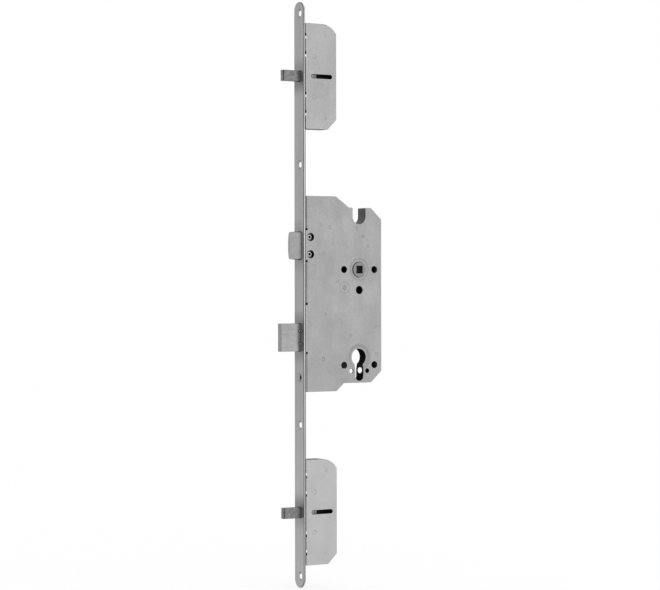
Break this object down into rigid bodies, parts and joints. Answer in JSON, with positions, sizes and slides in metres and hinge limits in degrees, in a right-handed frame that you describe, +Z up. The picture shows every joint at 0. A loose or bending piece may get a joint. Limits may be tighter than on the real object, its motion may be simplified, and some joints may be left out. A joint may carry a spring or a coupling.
{
  "type": "mortise lock",
  "caption": "Three-point mortise lock with a long round-ended forend, profile-cylinder case, double-bevelled latch, flat deadbolt and bolt boxes above and below",
  "frame": {"origin": "on the front face of the forend, on its centre line, at the height of the handle follower", "axes": "+X into the door, +Y across the door leaf away from the case cover, +Z up"},
  "size_m": [0.1222, 0.018, 0.607],
  "materials": {
    "forend_steel": "satin ground",
    "zinc_plate": "matt zinc plated",
    "bolt_steel": "satin nickel plated",
    "dark_bolt_steel": "satin, darker",
    "spring_steel": "drawn wire",
    "screw_steel": "zinc plated",
    "inner_steel": "rolled sheet"
  },
  "bodies": {
    "case": {"forend": "forend_steel", "case_base": "zinc_plate", "case_cover": "zinc_plate", "upper_box_base": "zinc_plate", "upper_box_cover": "zinc_plate", "lower_box_base": "zinc_plate", "lower_box_cover": "zinc_plate", "cylinder_screw": "screw_steel", "pillar_top": "inner_steel", "pillar_spring": "inner_steel", "pillar_back": "inner_steel", "pillar_slide_upper": "inner_steel", "pillar_slide_lower": "inner_steel", "deadbolt_post": "inner_steel", "latch_spring_seat": "inner_steel", "upper_pillar_top": "inner_steel", "upper_pillar_bottom": "inner_steel", "lower_pillar_top": "inner_steel", "lower_pillar_bottom": "inner_steel", "upper_guide_top": "inner_steel", "upper_guide_bottom": "inner_steel", "lower_guide_top": "inner_steel", "lower_guide_bottom": "inner_steel", "latch_spring": "spring_steel", "follower_spring": "spring_steel"},
    "follower": {"follower": "inner_steel"},
    "latch": {"latch_head": "bolt_steel", "latch_carrier": "inner_steel", "latch_screw_upper": "screw_steel", "latch_screw_lower": "screw_steel"},
    "deadbolt": {"deadbolt_head": "bolt_steel", "deadbolt_tail": "inner_steel", "deadbolt_pin": "screw_steel", "deadbolt_rivet_upper": "screw_steel", "deadbolt_rivet_lower": "screw_steel"},
    "drive": {"drive_slide": "inner_steel", "upper_rod": "inner_steel", "lower_rod": "inner_steel", "upper_cam": "inner_steel", "lower_cam": "inner_steel"},
    "upper_bolt": {"upper_bolt": "dark_bolt_steel", "upper_bolt_pin": "screw_steel"},
    "lower_bolt": {"lower_bolt": "dark_bolt_steel", "lower_bolt_pin": "screw_steel"}
  },
  "joints": [
    {"name": "follower_turn", "type": "hinge", "parent": "case", "child": "follower", "pos_m": [0.07, 0, 0], "axis": [0, 1, 0], "range_deg": [0, 32], "deforming": ["follower_spring"]},
    {"name": "latch_slide", "type": "slide", "parent": "case", "child": "latch", "axis": [1, 0, 0], "range_m": [0, 0.0132], "stiffness_N_per_m": 300, "springref_m": -0.01, "deforming": ["latch_spring"]},
    {"name": "deadbolt_slide", "type": "slide", "parent": "case", "child": "deadbolt", "axis": [1, 0, 0], "range_m": [0, 0.024]},
    {"name": "drive_lift", "type": "slide", "parent": "case", "child": "drive", "axis": [0, 0, 1], "range_m": [0, 0.02]},
    {"name": "upper_bolt_slide", "type": "slide", "parent": "case", "child": "upper_bolt", "axis": [1, 0, 0], "range_m": [0, 0.0216]},
    {"name": "lower_bolt_slide", "type": "slide", "parent": "case", "child": "lower_bolt", "axis": [1, 0, 0], "range_m": [0, 0.0216]}
  ],
  "couplings": [
    {"joint": "follower_turn", "follows": "latch_slide", "rad_per_m": 42.311},
    {"joint": "drive_lift", "follows": "deadbolt_slide", "ratio": 0.83333},
    {"joint": "upper_bolt_slide", "follows": "deadbolt_slide", "ratio": 0.9},
    {"joint": "lower_bolt_slide", "follows": "deadbolt_slide", "ratio": 0.9}
  ]
}
